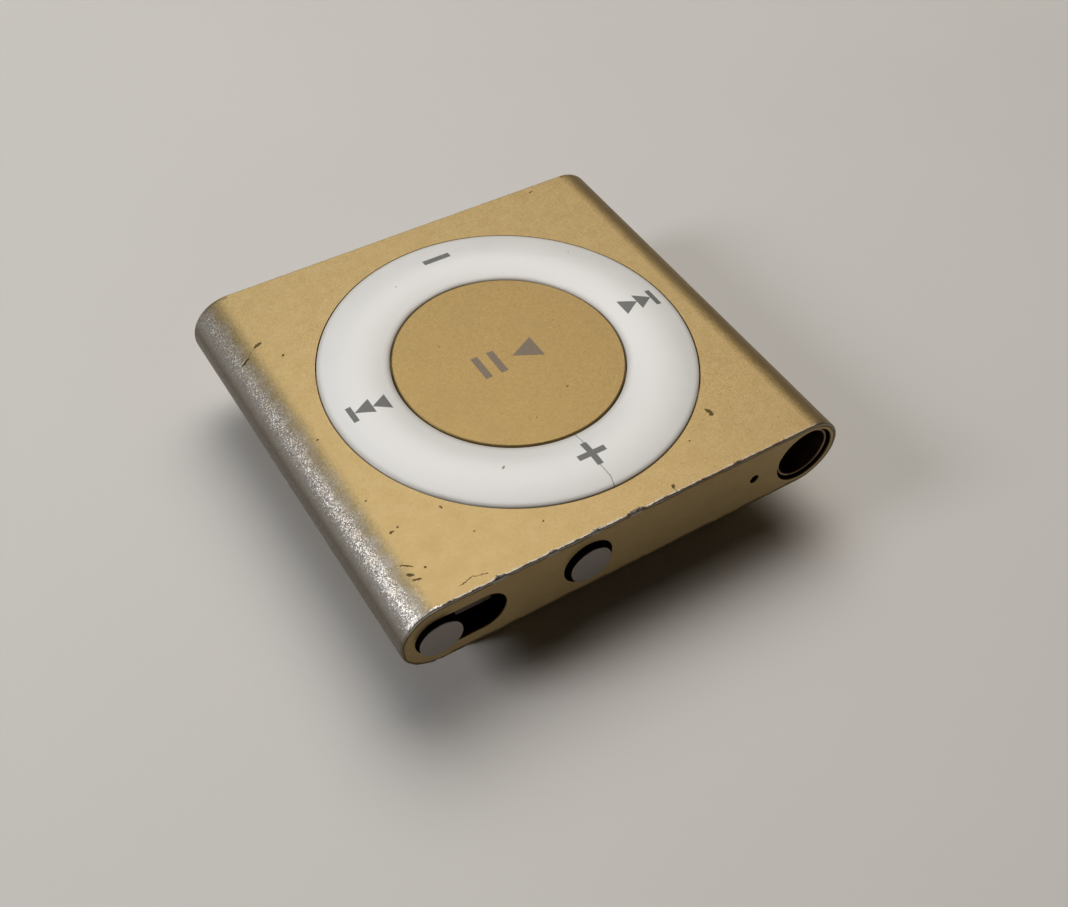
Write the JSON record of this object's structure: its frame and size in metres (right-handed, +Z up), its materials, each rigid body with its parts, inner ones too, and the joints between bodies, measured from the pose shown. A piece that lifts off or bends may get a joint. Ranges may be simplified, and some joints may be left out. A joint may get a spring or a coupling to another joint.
{
  "type": "digital audio player",
  "caption": "Small clip-on audio player: flat body with full-round sides, convex control ring round a centre button, slide switch, push button, headphone socket and sprung clip.",
  "frame": {"origin": "under the middle of the body's outline, on the outer face of the clip that the player lies on", "axes": "+X towards the headphone socket side, +Y away from the ports face, +Z up out of the control pad"},
  "size_m": [0.0316, 0.0293, 0.0091],
  "materials": {
    "gold_anodised": "fine blasted and anodised gold, worn to bare metal on one round side",
    "button_gold": "fine blasted and anodised gold",
    "white_plastic": "smooth semi-gloss white",
    "cap_metal": "satin light grey",
    "spring_steel": "plain stamped steel",
    "contact_metal": "thin gold plating",
    "black_plastic": "moulded matt black",
    "circuit_board": "solder mask",
    "chip_resin": "matt moulding resin",
    "flex_film": "smooth polyimide film",
    "adhesive": "double-sided tape",
    "battery_pouch": "laminated foil pouch",
    "clear_plastic": "clear acrylic",
    "red_insulation": "wire insulation"
  },
  "bodies": {
    "body": {"housing": "gold_anodised", "back_plate": "gold_anodised", "back_plate_adhesive": "adhesive", "clip_bracket": "spring_steel", "bracket_screw_1": "spring_steel", "bracket_screw_2": "spring_steel", "bracket_screw_3": "spring_steel", "bracket_screw_4": "spring_steel", "clip_pin": "spring_steel", "clip_spring": "spring_steel", "dome_centre": "spring_steel", "dome_plus": "spring_steel", "dome_minus": "spring_steel", "dome_next": "spring_steel", "dome_previous": "spring_steel", "control_flex": "flex_film", "support_plate": "spring_steel", "support_screw_1": "spring_steel", "support_screw_2": "spring_steel", "support_screw_3": "spring_steel", "support_screw_4": "spring_steel", "main_board": "circuit_board", "processor": "chip_resin", "flash_memory": "chip_resin", "power_controller": "chip_resin", "audio_converter": "chip_resin", "crystal": "spring_steel", "inductor": "chip_resin", "capacitor_1": "chip_resin", "capacitor_2": "chip_resin", "capacitor_3": "chip_resin", "capacitor_4": "chip_resin", "flex_connector": "black_plastic", "status_led": "clear_plastic", "light_pipe": "clear_plastic", "announcement_switch": "black_plastic", "slide_switch_body": "black_plastic", "jack_sleeve": "contact_metal", "jack_body": "black_plastic", "jack_contact_sleeve": "contact_metal", "jack_contact_ring": "contact_metal", "jack_contact_tip": "contact_metal", "battery": "battery_pouch", "battery_pad": "adhesive", "battery_lead_positive": "red_insulation", "battery_lead_negative": "black_plastic"},
    "clip": {"clip_plate": "gold_anodised"},
    "ring_gimbal": {"gimbal_spring": "spring_steel"},
    "ring": {"control_ring": "white_plastic"},
    "centre": {"centre_button": "button_gold", "centre_button_clip": "spring_steel"},
    "switch": {"switch_knob": "cap_metal", "switch_slider": "cap_metal"},
    "announcement": {"announcement_button": "cap_metal"}
  },
  "joints": [
    {"name": "clip_hinge", "type": "hinge", "parent": "body", "child": "clip", "pos_m": [0.007, 0, 0.00245], "axis": [0, -1, 0], "range_deg": [0, 16], "stiffness_Nm_per_rad": 0.12, "springref_deg": -14.32, "deforming": ["clip_spring"]},
    {"name": "ring_tilt_volume", "type": "hinge", "parent": "body", "child": "ring_gimbal", "pos_m": [0, 0, 0.0073], "axis": [1, 0, 0], "range_deg": [-0.7, 0.7], "stiffness_Nm_per_rad": 0.5},
    {"name": "ring_tilt_skip", "type": "hinge", "parent": "ring_gimbal", "child": "ring", "pos_m": [0, 0, 0.0073], "axis": [0, 1, 0], "range_deg": [-0.7, 0.7], "stiffness_Nm_per_rad": 0.5},
    {"name": "centre_press", "type": "slide", "parent": "body", "child": "centre", "axis": [0, 0, -1], "range_m": [0, 0.00015], "stiffness_N_per_m": 8000},
    {"name": "announcement_press", "type": "slide", "parent": "body", "child": "announcement", "axis": [0, 1, 0], "range_m": [0, 0.00025], "stiffness_N_per_m": 4000},
    {"name": "switch_slide", "type": "slide", "parent": "body", "child": "switch", "axis": [1, 0, 0], "range_m": [0, 0.00294]}
  ]
}
